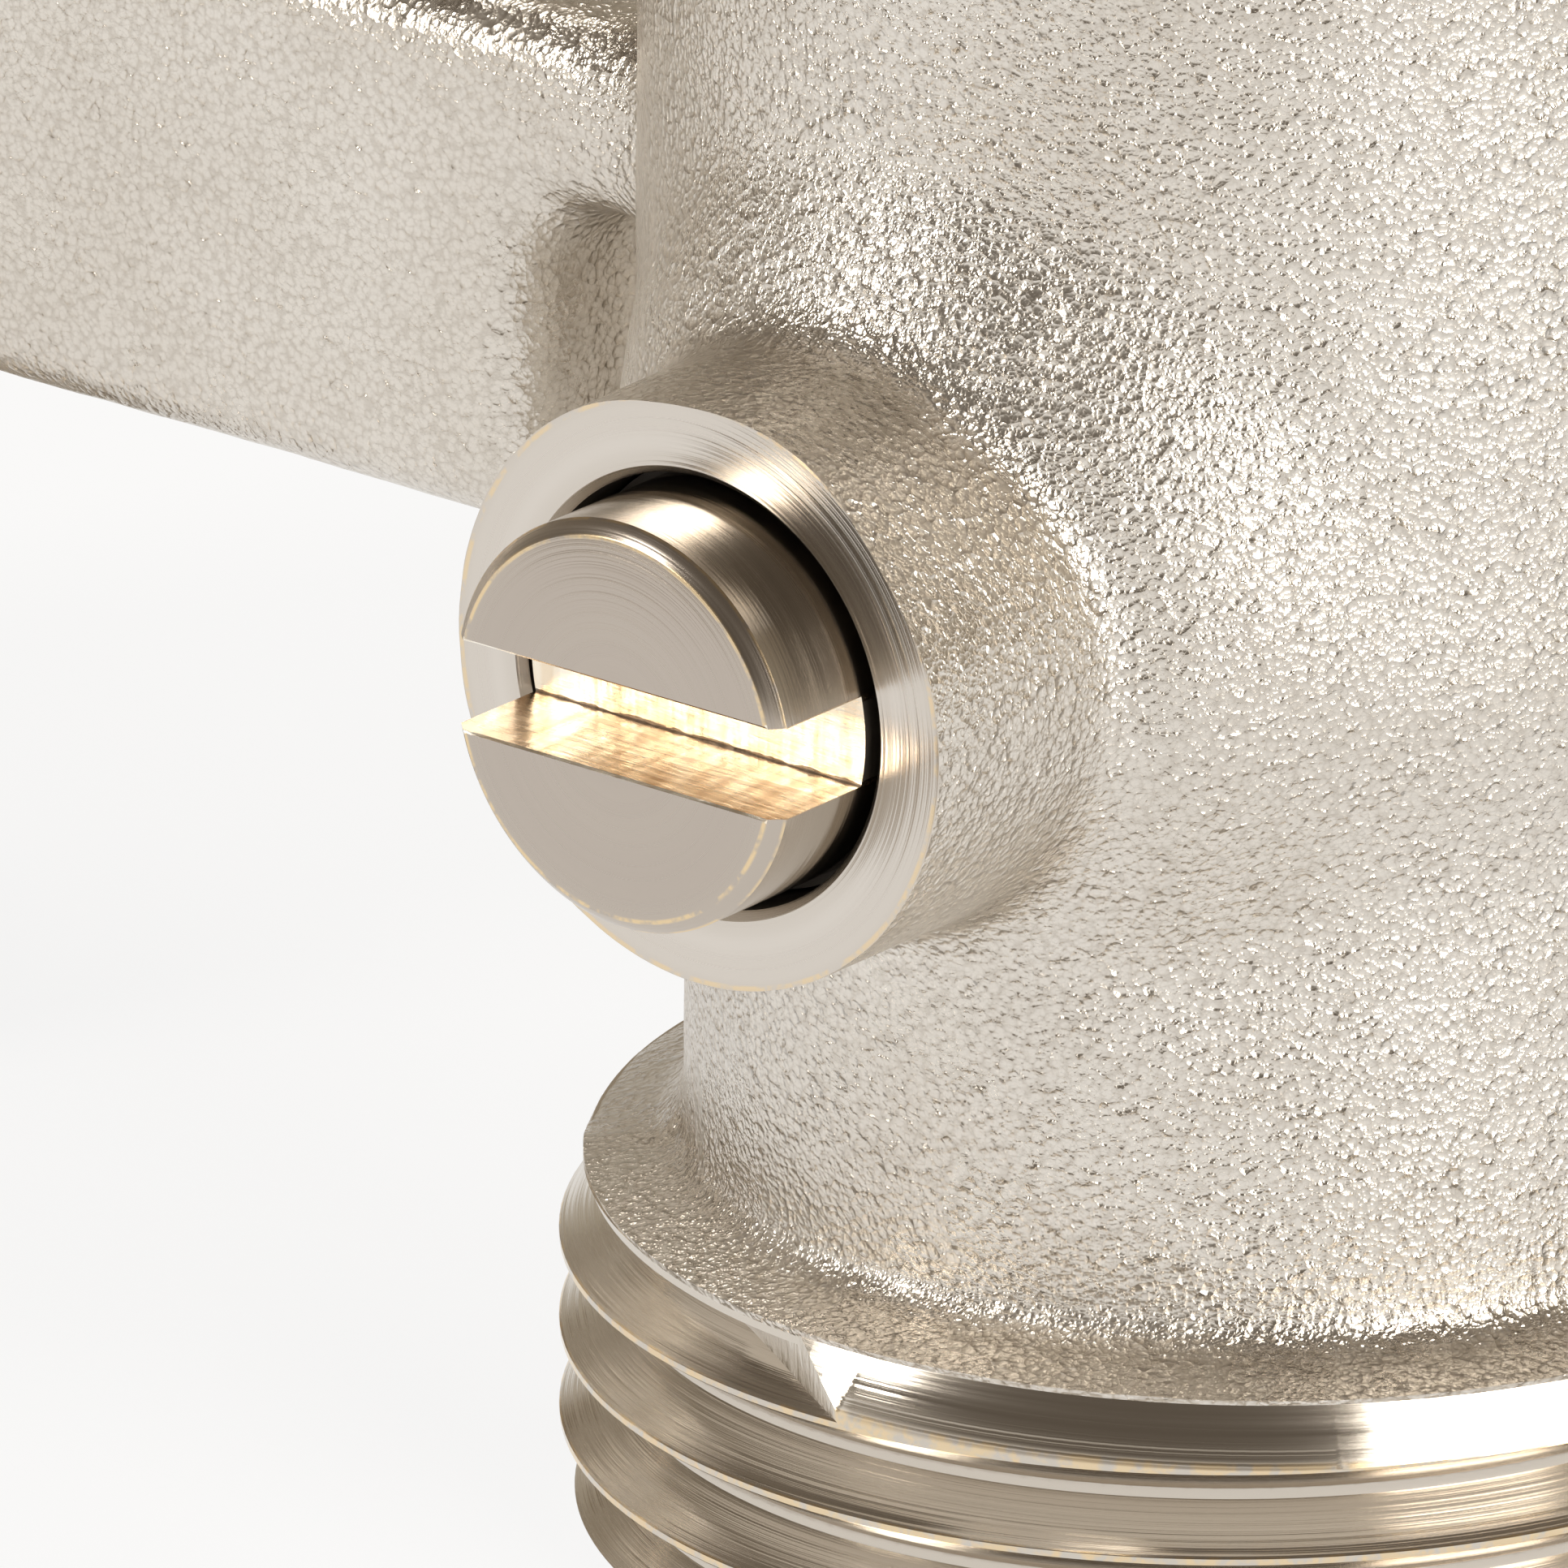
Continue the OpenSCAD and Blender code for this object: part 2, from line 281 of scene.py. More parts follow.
def bridge_blank():
    half = BRIDGE_D / 2
    bar = block("bar", (-LEG_X, -half, BRIDGE_Z), (LEG_X, half, BRIDGE_Z + BRIDGE_H))
    for s in SIDES.values():
        ends = sorted((s * (LEG_X - PANEL_STOP), s * LEG_X))
        notch = block("notch", (ends[0], -half - 1, BRIDGE_Z - 1), (ends[1], -half + NOTCH_DEPTH, BRIDGE_Z + NOTCH_H))
        combine(bar, notch)
    bevel = bar.modifiers.new("bevel", "BEVEL")
    bevel.width = 1.3 * MM
    bevel.segments = 4
    bevel.limit_method = "ANGLE"
    return settle(bar)


VOXEL = 0.27


def forge():
    blanks = [f(side) for side in SIDES for f in (leg_blank, boss_blank)]
    forging = join("forging", blanks + [bridge_blank()])
    remesh = forging.modifiers.new("remesh", "REMESH")
    remesh.mode = "VOXEL"
    remesh.voxel_size = VOXEL * MM
    settle(forging)
    round_roots(forging)
    return forging


def root_weight(co):
    """1 along the line where a boss or the bridge meets a leg, falling to 0 a few millimetres away."""
    p, side = leg_frame(co)
    from_axis = math.hypot(p.x, p.z)
    on_leg_wall = abs(math.hypot(p.x, p.y) - LEG_R)
    boss = 0.0
    if p.y < 0:
        boss = (1 - ease((abs(from_axis - 6.5) - 0.8) / 1.6)) * (1 - ease((on_leg_wall - 1.0) / 1.6))
        angle = math.degrees(math.atan2(p.z, p.x))
        boss *= 1 - 0.75 * (1 - ease((abs(angle - 15) - 22) / 24))
    bridge = 0.0
    if side * p.x < -8:
        bridge = (1 - ease((on_leg_wall - 1.0) / 1.8)) * (abs(p.y) < 7.5)
    return max(boss, bridge)


def round_roots(forging):
    bm = bmesh.new()
    bm.from_mesh(forging.data)
    bm.verts.ensure_lookup_table()
    every = list(bm.verts)
    for _ in range(3):
        bmesh.ops.smooth_vert(bm, verts=every, factor=0.5, use_axis_x=True, use_axis_y=True, use_axis_z=True)
    weights = {v: root_weight(v.co) for v in every}
    for level in (0.1, 0.3, 0.5, 0.7):
        near = [v for v, w in weights.items() if w > level]
        for _ in range(5):
            bmesh.ops.smooth_vert(bm, verts=near, factor=0.5, use_axis_x=True, use_axis_y=True, use_axis_z=True)
    undulate(bm)
    bm.to_mesh(forging.data)
    bm.free()


def undulate(bm):
    """The shallow waviness of a forged surface."""
    bm.normal_update()
    moves = []
    for v in bm.verts:
        p = v.co / MM
        wave = 0.030 * noise.noise(p * 0.33) + 0.014 * noise.noise(p * 1.1 + Vector((7, 3, 1)))
        wave += 0.006 * noise.noise(p * 2.6)
        moves.append(v.normal * wave * MM)
    for v, move in zip(bm.verts, moves):
        v.co += move


def machine(forging):
    """Cuts the turned faces and bores into the forging."""
    low, high = SHOULDER_Z - 3, SHOULDER_Z + 3.6
    ring = [(0, SHOULDER_Z - 0.12), (RING_R, SHOULDER_Z - 0.12), (RING_R + 1.5, high),
            (16, high), (16, low), (0, low)]
    bore = [(0, 5), (9.2, 5), (9.2, SHOULDER_Z + 2), (CHAMBER_R, SHOULDER_Z + 6), (CHAMBER_R, 29), (8.8, 29.2),
            (8.8, LEG_TOP - 0.3), (9.4, LEG_TOP + 0.3), (9.4, 45), (0, 45)]
    hole = [(0, 4), (5.3, 4), (5.3, 9.9), (BORE_R, 9.9), (BORE_R, BOSS_REACH - 0.17), (BORE_R + 0.17, BOSS_REACH),
            (BORE_R + 1.0, BOSS_REACH + 0.9), (0, BOSS_REACH + 0.9)]
    for side, s in SIDES.items():
        combine(forging, place(lathe("ring_cut", ring, steps=192), on_leg(side)))
        combine(forging, place(lathe("bore", bore, steps=128), on_leg(side)))
        combine(forging, block("face", (s * LEG_X - 9, -24, BALL_Z - 9), (s * LEG_X + 9, -BOSS_REACH, BALL_Z + 9)))
        combine(forging, place(lathe("hole", hole, steps=160), on_spindle(side)))
    combine(forging, block("top", (-60, -30, LEG_TOP), (60, 30, LEG_TOP + 4)))
    soften(forging, 38)


forging = forge()
machine(forging)
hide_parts("body")
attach(forging, "valve")


# threads

def thread_outline(crest, depth, pitch):
    """One pitch of a 55 degree thread, from root to root, as (radius, drop)."""
    flat = 0.06
    root = depth * 0.16
    return [(crest - depth, 0.0), (crest - depth + 0.02, pitch * 0.06), (crest - depth + root, pitch * 0.14),
            (crest - 0.03, pitch * 0.5 - flat - 0.03), (crest, pitch * 0.5 - flat),
            (crest, pitch * 0.5 + flat), (crest - 0.03, pitch * 0.5 + flat + 0.03),
            (crest - depth + root, pitch * 0.86), (crest - depth + 0.02, pitch * 0.94), (crest - depth, pitch)]


def screw_rod(name, crest, depth, pitch, turns, crest_z, steps=144):
    """Closed right-hand screw about Z. crest_z is the height of a crest on the front of the leg, at -Y."""
    bm = bmesh.new()
    outline = thread_outline(crest, depth, pitch)
    low = crest_z - pitch * (turns // 2) - pitch / 2
    start = Matrix.Rotation(math.radians(-90), 4, "Z")
    line = [bm.verts.new(start @ mm(r, 0, low + drop)) for r, drop in outline]
    edges = [bm.edges.new(p) for p in zip(line, line[1:])]
    bmesh.ops.spin(bm, geom=line + edges, cent=(0, 0, 0), axis=(0, 0, 1), dvec=(0, 0, pitch / steps * MM),
                   angle=2 * math.pi * turns, steps=steps * turns, use_merge=False, use_duplicate=False)
    bmesh.ops.remove_doubles(bm, verts=bm.verts, dist=2e-6)
    close_screw(bm)
    return finish_mesh(name, bm, 40)


def close_screw(bm):
    """Closes each open end of a screw with a fan to the axis."""
    rims = [e for e in bm.edges if e.is_boundary]
    mid = sum((v.co.z for e in rims for v in e.verts)) / (2 * len(rims))
    for lower in (True, False):
        some = [e for e in rims if (e.verts[0].co.z < mid) == lower]
        reach = [v.co.z for e in some for v in e.verts]
        tip = bm.verts.new((0, 0, (min(reach) + max(reach)) / 2))
        for e in some:
            bm.faces.new((e.verts[0], e.verts[1], tip))


RUN_OUT = (-22, 16)      # angles between which the first groove grows shallow and ends, from the front of a leg


def run_out(name):
    """Metal that the threading tool left above the first crest, where it drew back at the end of its first groove."""
    bm = bmesh.new()
    begin, full = RUN_OUT
    turn = Matrix.Rotation(math.radians(begin - 90), 4, "Z")
    low = SHOULDER_Z - FIRST_CREST + PITCH * begin / 360
    loop = [bm.verts.new(turn @ mm(r, 0, h)) for r, h in ((11, low), (14, low), (14, low + 1.9), (11, low + 1.9))]
    face = bm.faces.new(loop)
    reach, steps = 232, 116
    bmesh.ops.spin(bm, geom=[face] + face.edges[:] + loop, cent=(0, 0, 0), axis=(0, 0, 1), angle=math.radians(reach),
                   dvec=(0, 0, PITCH * reach / 360 / steps * MM), steps=steps, use_merge=False, use_duplicate=False)
    for v in bm.verts:
        radius = math.hypot(v.co.x, v.co.y) / MM
        if radius > 12:
            angle = (math.degrees(math.atan2(v.co.x, -v.co.y)) - begin + 5) % 360 - 5
            grown = 11.95 + 2.0 * ease(angle / (full - begin)) ** 1.4
            v.co.x *= grown / radius
            v.co.y *= grown / radius
    bmesh.ops.holes_fill(bm, edges=[e for e in bm.edges if e.is_boundary], sides=4)
    return finish_mesh(name, bm)


def port_end(side):
    """Threaded lower end with its socket, as the lathe leaves it."""
    shoulder = SHOULDER_Z
    piece = screw_rod("%s_port_end" % side, THREAD_R, THREAD_DEPTH, PITCH, 8, shoulder - FIRST_CREST - PITCH)
    combine(piece, run_out("run_out"), "UNION")
    body = lathe("envelope", [(0, 0), (TIP_R, 0), (THREAD_R + 0.02, 0.75), (THREAD_R + 0.02, shoulder - 1.15),
                              (RING_R, shoulder - 0.02), (0, shoulder - 0.02)], steps=192)
    combine(piece, body, "INTERSECT")
    root = THREAD_R - THREAD_DEPTH + 0.01
    core = lathe("core", [(0, 0.02), (root, 0.02), (root, shoulder - 0.62), (RING_R - 0.01, shoulder - 0.28),
                          (RING_R - 0.01, shoulder - 0.05), (9.95, shoulder - 0.05), (9.95, BALL_Z - SEAT_BACK),
                          (0, BALL_Z - SEAT_BACK)], steps=192)
    combine(piece, core, "UNION")
    socket = [(0, -1), (SOCKET_R + 1.7, -1), (SOCKET_R + 1, 0), (SOCKET_R, 1.4), (SOCKET_R, 8.3), (WATER_R, 10.5),
              (WATER_R, 30), (0, 30)]
    combine(piece, lathe("socket", socket, steps=128))
    place(piece, on_leg(side))
    soften(piece, 30)
    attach(piece, "valve")
    return piece


port_ends = [port_end(side) for side in SIDES]


# spindles

def break_edges(piece, on_edge, width):
    """Takes the sharpness off the straight edges whose two ends pass the test."""
    bm = bmesh.new()
    bm.from_mesh(piece.data)
    edges = [e for e in bm.edges if all(on_edge(v.co) for v in e.verts)]
    bmesh.ops.bevel(bm, geom=edges, offset=width * MM, offset_type="OFFSET", affect="EDGES", segments=1, profile=0.5,
                    material=-1)
    bm.to_mesh(piece.data)
    bm.free()


def spindle(side):
    flange_in, spot, land = 8.4, 9.9, BORE_R - 0.05
    ledge = BOSS_REACH - 1.4
    grooves = []
    for start in (10.5, 12.8):
        grooves += [(land, start), (2.63, start), (2.63, start + 1.7), (land, start + 1.7)]
    outline = [(0, flange_in), (5.2, flange_in), (5.2, flange_in + 0.9), (land, flange_in + 0.9)] + grooves
    outline += [(land, ledge), (SPINDLE_R, ledge), (SPINDLE_R, SPINDLE_END - 0.27),
                (SPINDLE_R - 0.03, SPINDLE_END - 0.235), (SPINDLE_R - 0.24, SPINDLE_END - 0.02),
                (SPINDLE_R - 0.28, SPINDLE_END), (0, SPINDLE_END)]
    piece = lathe("%s_spindle" % side, outline, steps=192)
    tongue = block("tongue", (-1.5, -3.5, 6.05), (1.5, 3.5, 8.6))
    combine(piece, tongue, "UNION")
    key = block("key", (-1.0, 4.0, flange_in), (1.0, 5.8, flange_in + 0.9))
    combine(piece, key, "UNION")
    half = SLOT_W / 2
    slot = block("slot", (-6, -half, SPINDLE_END - SLOT_DEPTH), (6, half, SPINDLE_END + 1))
    combine(piece, slot)
    break_edges(piece, lambda v: abs(v.z - SPINDLE_END * MM) < 1e-6 and abs(abs(v.y) - half * MM) < 1e-6, 0.045)
    place(piece, on_spindle(side))
    soften(piece, 30)
    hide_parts("%s_stem" % side)
    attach(piece, "%s_shutoff" % side)
    return piece


spindles = [spindle(side) for side in SIDES]


# union nuts

def union_nut(side):
    """Hexagon nut with chamfered corners, an inner thread from the top and a smooth lip hole below."""
    bm = bmesh.new()
    bmesh.ops.create_cone(bm, cap_ends=True, segments=6, matrix=Matrix.Rotation(math.radians(30), 4, "Z"), radius1=NUT_AF / math.sqrt(3) * MM, radius2=NUT_AF / math.sqrt(3) * MM,
                          depth=NUT_H * MM)
    bmesh.ops.translate(bm, vec=mm(0, 0, NUT_H / 2), verts=bm.verts)
    bmesh.ops.bevel(bm, geom=[e for e in bm.edges if abs(e.verts[0].co.z - e.verts[1].co.z) > 0.01], offset=0.35 * MM,
                    offset_type="OFFSET", affect="EDGES", segments=3, profile=0.5, material=-1)
    piece = finish_mesh("%s_nut" % side, bm)
    top, corner = NUT_H, NUT_AF / 2 * 1.16
    rim, slope = NUT_AF / math.sqrt(3) - 2.4, 1.4 / 2.4
    rise = (corner - rim) * slope
    crown = [(0, 0), (rim, 0), (corner, rise), (corner, top - rise), (rim, top), (0, top)]
    combine(piece, lathe("crown", crown, steps=192), "INTERSECT")
    bore = [(0, -1), (NUT_LIP_R + 1.2, -1), (NUT_LIP_R + 0.25, 0), (NUT_LIP_R, 0.3), (NUT_LIP_R, NUT_LIP - 0.2),
            (NUT_RELIEF_R, NUT_LIP), (NUT_RELIEF_R, NUT_THREAD_Z), (NUT_MINOR, NUT_THREAD_Z + 0.6), (NUT_MINOR, top - 1.1),
            (NUT_MINOR + 1.5, top + 0.4), (NUT_MINOR + 1.5, top + 1), (0, top + 1)]
    combine(piece, lathe("bore", bore, steps=192))
    tap = screw_rod("tap", NUT_MINOR + 1.12, 1.3, PITCH, 5, NUT_THREAD_Z + 3.6 * PITCH)
    combine(piece, tap)
    place(piece, on_leg(side) @ Matrix.Translation(mm(0, 0, NUT_Z)))
    soften(piece, 30)
    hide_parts("%s_union_nut" % side)
    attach(piece, "%s_nut" % side)
    return piece


nuts = [union_nut(side) for side in SIDES]


# materials

def put(tree, kind, settings=None, **inputs):
    """Adds a node. Inputs are named as on the node, with _ for a space, and are a value or the socket that feeds them."""
    node = tree.nodes.new("ShaderNode" + kind)
    for key, value in (settings or {}).items():
        setattr(node, key, value)
    for key, value in inputs.items():
        feed(tree, node.inputs[key.replace("_", " ")], value)
    return node


def feed(tree, socket, value):
    if isinstance(value, bpy.types.NodeSocket):
        tree.links.new(value, socket)
    else:
        socket.default_value = value


def calc(tree, operation, *values, clamp=False):
    node = put(tree, "Math", {"operation": operation, "use_clamp": clamp})
    for socket, value in zip(node.inputs, values):
        feed(tree, socket, value)
    return node.outputs[0]


def vary(tree, value, low_in, high_in, low, high):
    """Maps a value from one range to another and holds it there."""
    node = put(tree, "MapRange", None, Value=value)
    for key, number in (("From Min", low_in), ("From Max", high_in), ("To Min", low), ("To Max", high)):
        feed(tree, node.inputs[key], number)
    return node.outputs[0]


def tint(tree, factor, first, second, blend="MIX"):
    node = put(tree, "Mix", {"data_type": "RGBA", "blend_type": blend})
    feed(tree, node.inputs[0], factor)
    feed(tree, node.inputs[6], first)
    feed(tree, node.inputs[7], second)
    return node.outputs[2]


def speckle(tree, where, scale, detail=2.0, rough=0.5, distortion=0.0):
    node = put(tree, "TexNoise", None, Vector=where, Scale=scale, Detail=detail, Roughness=rough, Distortion=distortion)
    return node.outputs["Fac"]


def new_group(name, inputs, outputs):
    tree = bpy.data.node_groups.new(name, "ShaderNodeTree")
    for label, kind in inputs.items():
        tree.interface.new_socket(label, in_out="INPUT", socket_type="NodeSocket" + kind)
    for label, kind in outputs.items():
        tree.interface.new_socket(label, in_out="OUTPUT", socket_type="NodeSocket" + kind)
    return tree, tree.nodes.new("NodeGroupInput").outputs, tree.nodes.new("NodeGroupOutput").inputs


def use_group(tree, group, **inputs):
    node = tree.nodes.new("ShaderNodeGroup")
    node.node_tree = group
    for key, value in inputs.items():
        feed(tree, node.inputs[key.replace("_", " ")], value)
    return node.outputs


def axis_group(name, along_spindle):
    """Turns object coordinates into coordinates whose Z runs along the axis of the nearest leg or spindle."""
    tree, start, end = new_group(name, {"Position": "Vector"}, {"Centred": "Vector"})
    split = put(tree, "SeparateXYZ", None, Vector=start["Position"]).outputs
    across = calc(tree, "SUBTRACT", calc(tree, "ABSOLUTE", split["X"]), LEG_X * MM)
    if along_spindle:
        level = calc(tree, "SUBTRACT", split["Z"], BALL_Z * MM)
        out = calc(tree, "MULTIPLY", split["Y"], -1.0)
        joined = put(tree, "CombineXYZ", None, X=across, Y=level, Z=out)
    else:
        joined = put(tree, "CombineXYZ", None, X=across, Y=split["Y"], Z=split["Z"])
    tree.links.new(joined.outputs[0], end["Centred"])
    return tree


def turning_group():
    """Marks of a lathe tool: they run round the axis and change with the radius and, by Lengthwise, with the height."""
    tree, start, end = new_group("turning_marks", {"Centred": "Vector", "Lengthwise": "Float", "Lines": "Float"},
                                 {"Height": "Float", "Tone": "Float", "Radius": "Float", "Round": "Vector"})
    split = put(tree, "SeparateXYZ", None, Vector=start["Centred"]).outputs
    square = calc(tree, "ADD", calc(tree, "MULTIPLY", split["X"], split["X"]), calc(tree, "MULTIPLY", split["Y"], split["Y"]))
    radius = calc(tree, "SQRT", square)
    along = calc(tree, "MULTIPLY", split["Z"], start["Lengthwise"])
    profile = put(tree, "CombineXYZ", None, X=radius, Y=along, Z=0.0).outputs[0]
    lines = put(tree, "TexNoise", {"noise_dimensions": "2D"}, Vector=profile, Scale=start["Lines"], Detail=3.0, Roughness=0.6)
    wide = put(tree, "TexNoise", {"noise_dimensions": "2D"}, Vector=profile, Scale=900.0, Detail=1.0)
    tree.links.new(lines.outputs["Fac"], end["Height"])
    tree.links.new(wide.outputs["Fac"], end["Tone"])
    tree.links.new(radius, end["Radius"])
    tree.links.new(profile, end["Round"])
    return tree


def dimples(tree, where, scale, seed):
    """Round-bottomed craters of uneven depth that meet in thin ridges, 0 to about 1."""
    moved = put(tree, "VectorMath", {"operation": "ADD"})
    feed(tree, moved.inputs[0], where)
    moved.inputs[1].default_value = (seed, seed * 0.7, seed * 1.3)
    cells = put(tree, "TexVoronoi", {"feature": "F1"}, Vector=moved.outputs[0], Scale=scale)
    share = put(tree, "SeparateColor", None, Color=cells.outputs["Color"]).outputs["Red"]
    bowl = calc(tree, "MULTIPLY", cells.outputs["Distance"], cells.outputs["Distance"])
    return calc(tree, "MULTIPLY", bowl, vary(tree, share, 0.0, 1.0, 0.3, 1.7)), cells.outputs["Distance"]


def grain_group():
    """Craters of a blasted surface: two sizes, a drift of depth and tone, and a mask of the ridges between craters on
    which shade is painted.
    """
    tree, start, end = new_group("blast_grain", {"Position": "Vector", "Scale": "Float"},
                                 {"Height": "Float", "Tone": "Float", "Patch": "Float", "RidgeShade": "Float"})
    where = start["Position"]
    wobble = put(tree, "TexNoise", None, Vector=where, Scale=3800.0, Detail=1.0)
    bent = put(tree, "VectorMath", {"operation": "MULTIPLY_ADD"})
    feed(tree, bent.inputs[0], wobble.outputs["Color"])
    bent.inputs[1].default_value = (0.00009, 0.00009, 0.00009)
    feed(tree, bent.inputs[2], where)
    patch = speckle(tree, where, 320.0, 2.0, 0.6)
    large, rim = dimples(tree, bent.outputs[0], start["Scale"], 0.013)
    small, fine_rim = dimples(tree, bent.outputs[0], calc(tree, "MULTIPLY", start["Scale"], 1.9), 0.027)
    swell = speckle(tree, where, calc(tree, "MULTIPLY", start["Scale"], 0.3), 1.0)
    depth = vary(tree, patch, 0.3, 0.7, 0.75, 1.25)
    total = calc(tree, "ADD", calc(tree, "MULTIPLY", large, depth), calc(tree, "MULTIPLY", small, 0.42))
    tree.links.new(calc(tree, "ADD", total, calc(tree, "MULTIPLY", swell, 0.5)), end["Height"])
    tree.links.new(speckle(tree, where, 130.0, 3.0, 0.6), end["Tone"])
    tree.links.new(patch, end["Patch"])
    tree.links.new(vary(tree, calc(tree, "ADD", rim, calc(tree, "MULTIPLY", fine_rim, 0.4)), 0.55, 0.95, 0.0, 1.0), end["RidgeShade"])
    return tree


ABOUT_LEG = axis_group("about_leg", False)
ABOUT_SPINDLE = axis_group("about_spindle", True)
TURNING = turning_group()
GRAIN = grain_group()

NICKEL = (0.80, 0.755, 0.69, 1)
NICKEL_DARK = (0.68, 0.625, 0.55, 1)
NICKEL_WORN = (0.56, 0.50, 0.43, 1)
# Colour of the shade painted on the ridges between blasted craters:
NICKEL_RIDGE_SHADE = (0.40, 0.34, 0.27, 1)
NICKEL_FACED = (0.72, 0.67, 0.61, 1)
BRASS = (0.85, 0.66, 0.40, 1)


def material(name, roughness, metallic=1.0):
    mat = bpy.data.materials.new(name)
    mat.use_nodes = True
    tree = mat.node_tree
    shader = tree.nodes["Principled BSDF"]
    shader.inputs["Metallic"].default_value = metallic
    shader.inputs["Roughness"].default_value = roughness
    return mat, tree, shader.inputs, put(tree, "TexCoord").outputs["Object"]


def relief(tree, sockets, height, distance):
    bump = put(tree, "Bump", None, Height=height, Distance=distance, Strength=1.0)
    tree.links.new(bump.outputs["Normal"], sockets["Normal"])


def blasted_nickel():
    mat, tree, sockets, where = material("blasted_nickel", 0.3)
    grain = use_group(tree, GRAIN, Position=where, Scale=5400.0)
    tone = vary(tree, grain["Tone"], 0.3, 0.7, 0.35, 1.0)
    clean = tint(tree, tone, NICKEL_DARK, NICKEL)
    # Painted shade: the ridges between the craters are darkened towards the ridge shade colour.
    feed(tree, sockets["Base Color"], tint(tree, calc(tree, "MULTIPLY", grain["RidgeShade"], 0.28), clean, NICKEL_RIDGE_SHADE))
    feed(tree, sockets["Roughness"], vary(tree, grain["Patch"], 0.3, 0.7, 0.24, 0.32))
    across = put(tree, "SeparateXYZ", None, Vector=where).outputs["X"]
    calm = vary(tree, calc(tree, "ABSOLUTE", across), 0.0105, 0.0135, 0.45, 1.0)
    relief(tree, sockets, calc(tree, "MULTIPLY", grain["Height"], calm), 0.000045)
    return mat


def turned_metal(name, axis, colour, roughness, lengthwise, lines, depth, worn=()):
    mat, tree, sockets, where = material(name, roughness)
    centred = use_group(tree, axis, Position=where)["Centred"]
    marks = use_group(tree, TURNING, Centred=centred, Lengthwise=lengthwise, Lines=lines)
    base = tint(tree, vary(tree, marks["Tone"], 0.3, 0.7, 0.0, 0.6), colour, NICKEL_WORN)
    for at, width, share in worn:
        patchy = speckle(tree, where, 1500.0, 3.0, 0.7)
        off = calc(tree, "ABSOLUTE", calc(tree, "SUBTRACT", marks["Radius"], at * MM))
        rim = vary(tree, off, width * 0.4 * MM, width * MM, 1.0, 0.0)
        mask = calc(tree, "MULTIPLY", rim, vary(tree, patchy, 0.42, 0.56, 0.0, share), clamp=True)
        base = tint(tree, mask, base, BRASS)
    feed(tree, sockets["Base Color"], base)
    feed(tree, sockets["Roughness"], vary(tree, marks["Height"], 0.3, 0.7, roughness * 0.75, roughness * 1.25))
    relief(tree, sockets, marks["Height"], depth)
    return mat


def milled_brass(name, light, deep, roughness):
    """Bare brass left by the slot cutter: streaks along the slot, slow chatter across it and a line of painted shade in
    its corner.
    """
    mat, tree, sockets, where = material(name, roughness)
    lines = put(tree, "Mapping", None, Vector=where, Scale=(0.12, 1, 1))
    streak = speckle(tree, lines.outputs[0], 5200.0, 3.0, 0.65)
    cross = put(tree, "Mapping", None, Vector=where, Scale=(1, 0.15, 0.15))
    chatter = speckle(tree, cross.outputs[0], 2600.0, 2.0, 0.5)
    height = calc(tree, "ADD", streak, calc(tree, "MULTIPLY", chatter, 0.6))
    base = tint(tree, vary(tree, chatter, 0.38, 0.62, 0.0, 1.0), light, deep)
    out = calc(tree, "MULTIPLY", put(tree, "SeparateXYZ", None, Vector=where).outputs["Y"], -1.0)
    corner = calc(tree, "ABSOLUTE", calc(tree, "SUBTRACT", out, (SPINDLE_END - SLOT_DEPTH) * MM))
    level = calc(tree, "SUBTRACT", put(tree, "SeparateXYZ", None, Vector=where).outputs["Z"], (BALL_Z - SLOT_W / 2) * MM)
    near = calc(tree, "ADD", corner, calc(tree, "ABSOLUTE", level))
    wander = vary(tree, speckle(tree, where, 2500.0), 0.3, 0.7, 0.02 * MM, 0.09 * MM)
    # Painted shade: a near-black line along the corner where the slot's floor meets its lower wall.
    corner_shade = calc(tree, "LESS_THAN", near, wander)
    feed(tree, sockets["Base Color"], tint(tree, calc(tree, "MULTIPLY", corner_shade, 0.85), base, (0.10, 0.07, 0.05, 1)))
    feed(tree, sockets["Roughness"], vary(tree, streak, 0.3, 0.7, roughness * 0.7, roughness * 1.4))
    relief(tree, sockets, height, 0.000012)
    return mat


def plain(name, colour, second, roughness, metallic, scale, depth):
    mat, tree, sockets, where = material(name, roughness, metallic)
    mottle = speckle(tree, where, scale, 3.0, 0.6)
    feed(tree, sockets["Base Color"], tint(tree, vary(tree, mottle, 0.3, 0.7, 0.0, 1.0), colour, second))
    feed(tree, sockets["Roughness"], vary(tree, mottle, 0.3, 0.7, roughness * 0.8, roughness * 1.2))
    relief(tree, sockets, mottle, depth)
    return mat


BLASTED = blasted_nickel()
FACED_BOSS = turned_metal("faced_boss", ABOUT_SPINDLE, NICKEL_FACED, 0.24, 0.0, 4300.0, 0.00002, [(5.62, 0.07, 0.7)])
BORED = turned_metal("bored_leg", ABOUT_LEG, NICKEL, 0.22, 1.0, 5200.0, 0.00001)
THREAD = turned_metal("cut_thread", ABOUT_LEG, NICKEL_DARK, 0.16, 0.1, 9000.0, 0.000012, [(13.18, 0.05, 0.75)])
SPINDLE_FACE = turned_metal("spindle_face", ABOUT_SPINDLE, (0.50, 0.44, 0.385, 1), 0.24, 0.0, 6500.0, 0.00001, [(3.66, 0.06, 0.9), (3.95, 0.05, 0.7)])
SPINDLE_SIDE = turned_metal("spindle_side", ABOUT_SPINDLE, (0.50, 0.45, 0.385, 1), 0.18, 1.0, 4200.0, 0.000009)
